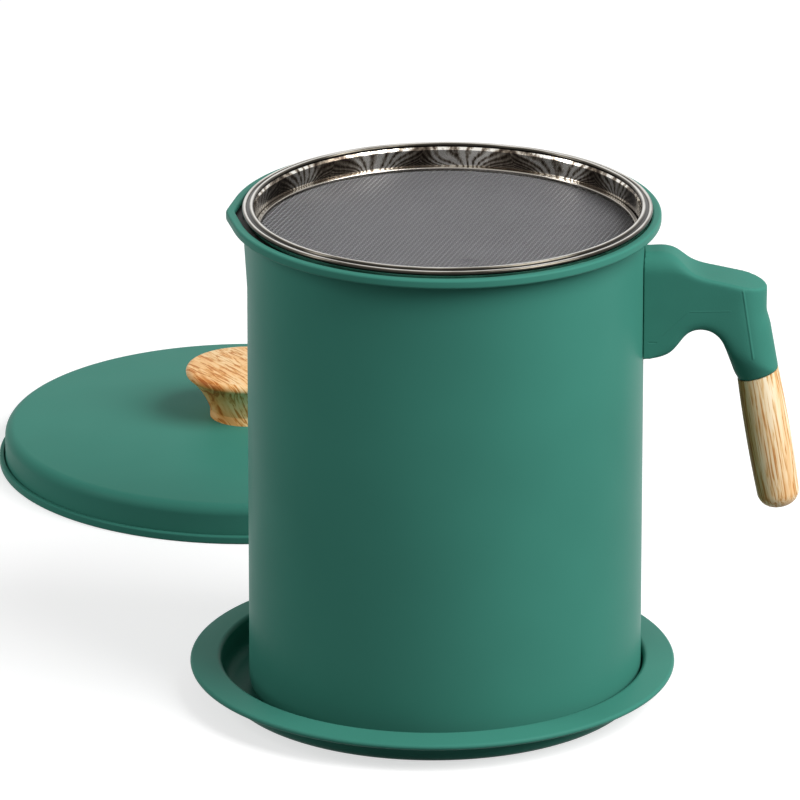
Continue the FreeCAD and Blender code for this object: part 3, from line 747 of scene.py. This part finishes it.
# The grip's fibres run along its leg, and the knob's slant across it, square to this direction
knob_across = Vector((0.75, 0.47, 0.47)).to_track_quat("X", "Z").to_euler()
# Both woods get painted shade towards one side, over the range given in their own X
grip_wood = wood("grip_wood", at=ferrule_point, turn=(0, -leg_lean, 0), stretch=(1, 1, 0.045),
                 painted_shade_range=(-9 * mm, -1 * mm), tint=(1, 1, 1))
knob_wood = wood("knob_wood", at=lid_centre, turn=knob_across, stretch=(1, 0.1, 0.1),
                 painted_shade_range=(-16 * mm, 8 * mm), tint=(1, 0.82, 0.62))


# Pieces

def dress(name, material):
    nodes[name].data.materials.clear()
    nodes[name].data.materials.append(material)


def replace(mesh, node, body, materials, sharp=35):
    """Puts a smooth mesh in a CAD node's place."""
    piece = put_in_scene(mesh.name, mesh)
    for material in materials:
        mesh.materials.append(material)
    mesh.shade_smooth()
    if sharp:
        mesh.set_sharp_from_angle(angle=math.radians(sharp))
    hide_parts(node)
    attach(piece, body)


dress("lid_locating_ring", lid_enamel_lit_copy)
dress("mesh_clamp_ring", clamp_steel)
for name in ("handle_bracket", "handle_flat_washer", "handle_spring_washer", "handle_screw", "grip_stud",
             "knob_flat_washer", "knob_spring_washer", "knob_screw"):
    dress(name, plain_steel)
for name in ("arm_insert", "grip_insert", "knob_insert"):
    dress(name, brass)
dress("handle_grip", grip_wood)
dress("lid_knob", knob_wood)

tray_centre = Vector((tray_x, 0, 0))
strainer_centre = Vector((strainer_x, 0, 0))
net_middle = Vector((strainer_x, 0, mesh_top - mesh_thickness / 2))
net_radius = hoop_radius - hoop_sheet - hoop_corner_bend
net = woven_net(net_middle, net_radius, mesh_pitch, wire_radius, wire_rise, wire_sides, net_turn)
replace(spun_mesh("drip_tray_looks", tray_outline(), tray_centre), "drip_tray", "tray",
        [green_enamel])
replace(pot_mesh(), "pot_body", "pot", [green_enamel, inside_coat])
replace(softened_arm(), "handle_arm", "pot", [green_arm], 0)
replace(spun_mesh("strainer_hoop_looks", hoop_outline(), strainer_centre), "strainer_hoop", "strainer",
        [hoop_painted_reflection])
replace(spun_mesh("strainer_rim_looks", strainer_rim_outline(), strainer_centre), "strainer_rim", "strainer",
        [rim_painted_light])
replace(net, "strainer_mesh", "strainer", [mesh_steel], 0)
replace(spun_mesh("lid_shell_looks", lid_outline(), lid_centre), "lid_shell", "lid",
        [lid_enamel_lit_copy])


# Floor, world, lights and camera

def seen_rays(tree):
    """1 for rays from the camera and for those that a mirror or a glass passes on, else 0."""
    rays = tree.nodes.new("ShaderNodeLightPath")
    value = rays.outputs["Is Camera Ray"]
    for kind in ("Is Glossy Ray", "Is Transmission Ray"):
        either = tree.nodes.new("ShaderNodeMath")
        either.operation = "MAXIMUM"
        tree.links.new(value, either.inputs[0])
        tree.links.new(rays.outputs[kind], either.inputs[1])
        value = either.outputs["Value"]
    return value


def white_floor(name):
    """White where it is seen, with the object's shadow, and grey for the light it throws back.

    Beyond the lamps' reach it glows as white as the world, so that no horizon shows.
    """
    m = Nodes(name)
    seen = seen_rays(m.tree)
    m.set(Base_Color=floor_grey, Roughness=1.0, Specular_IOR_Level=0.0)
    glow = m.add("ShaderNodeEmission")
    glow.inputs["Strength"].default_value = floor_glow
    half_lit = m.add("ShaderNodeAddShader")
    m.link(m.shader.outputs["BSDF"], half_lit.inputs[0])
    m.link(glow.outputs["Emission"], half_lit.inputs[1])
    distance = m.add("ShaderNodeVectorMath", operation="LENGTH")
    m.link(m.add("ShaderNodeNewGeometry").outputs["Position"], distance.inputs[0])
    far = m.add("ShaderNodeMapRange", interpolation_type="SMOOTHSTEP")
    far.inputs["From Min"].default_value, far.inputs["From Max"].default_value = floor_whitens
    m.link(distance.outputs["Value"], far.inputs["Value"])
    white = m.add("ShaderNodeEmission")
    white.inputs["Strength"].default_value = 1.0
    shown = m.add("ShaderNodeMixShader")
    m.link(far.outputs["Result"], shown.inputs["Fac"])
    m.link(half_lit.outputs["Shader"], shown.inputs[1])
    m.link(white.outputs["Emission"], shown.inputs[2])
    dull = m.add("ShaderNodeBsdfDiffuse")
    dull.inputs["Color"].default_value = floor_thrown_grey
    both = m.add("ShaderNodeMixShader")
    m.link(seen, both.inputs["Fac"])
    m.link(dull.outputs["BSDF"], both.inputs[1])
    m.link(shown.outputs["Shader"], both.inputs[2])
    m.link(both.outputs["Shader"], m.tree.nodes["Material Output"].inputs["Surface"])
    return m.material


floor = put_in_scene("floor", bpy.data.meshes.new("floor"))
floor_corners = [(x * floor_span, y * floor_span, 0) for x, y in ((-1, -1), (1, -1), (1, 1), (-1, 1))]
floor.data.from_pydata(floor_corners, [], [(0, 1, 2, 3)])
floor.data.materials.append(white_floor("floor_white"))

world = bpy.data.worlds.new("studio")
bpy.context.scene.world = world
world.use_nodes = True
background = world.node_tree.nodes["Background"]
background.inputs["Color"].default_value = (1, 1, 1, 1)
strength = world.node_tree.nodes.new("ShaderNodeMapRange")
strength.inputs["To Min"].default_value = world_light
strength.inputs["To Max"].default_value = world_seen
world.node_tree.links.new(seen_rays(world.node_tree), strength.inputs["Value"])
world.node_tree.links.new(strength.outputs["Result"], background.inputs["Strength"])


def softbox(name, place, width, height, power):
    """Area light that points at the middle of the pot."""
    lamp = bpy.data.lights.new(name, "AREA")
    lamp.shape = "RECTANGLE"
    lamp.size, lamp.size_y = width, height
    lamp.energy = power
    box = bpy.data.objects.new(name, lamp)
    bpy.context.scene.collection.objects.link(box)
    box.location = place
    box.rotation_euler = (Vector((0, 0, rim_top / 2)) - Vector(place)).to_track_quat("-Z", "Y").to_euler()


softbox("key_right", place=(1.150, -0.664, 1.235), width=1.2, height=1.3, power=42)
softbox("fill_left", place=(-1.535, -0.271, 0.9), width=0.4, height=1.2, power=10)

eye = bpy.data.cameras.new("camera")
eye.lens = camera_lens
eye.sensor_width = camera_sensor
eye.clip_end = camera_far
camera = bpy.data.objects.new("camera", eye)
bpy.context.scene.collection.objects.link(camera)
camera.location = camera_place
camera.rotation_euler = (camera_tilt, 0, 0)
bpy.context.scene.camera = camera
bpy.context.scene.view_settings.view_transform = "Standard"
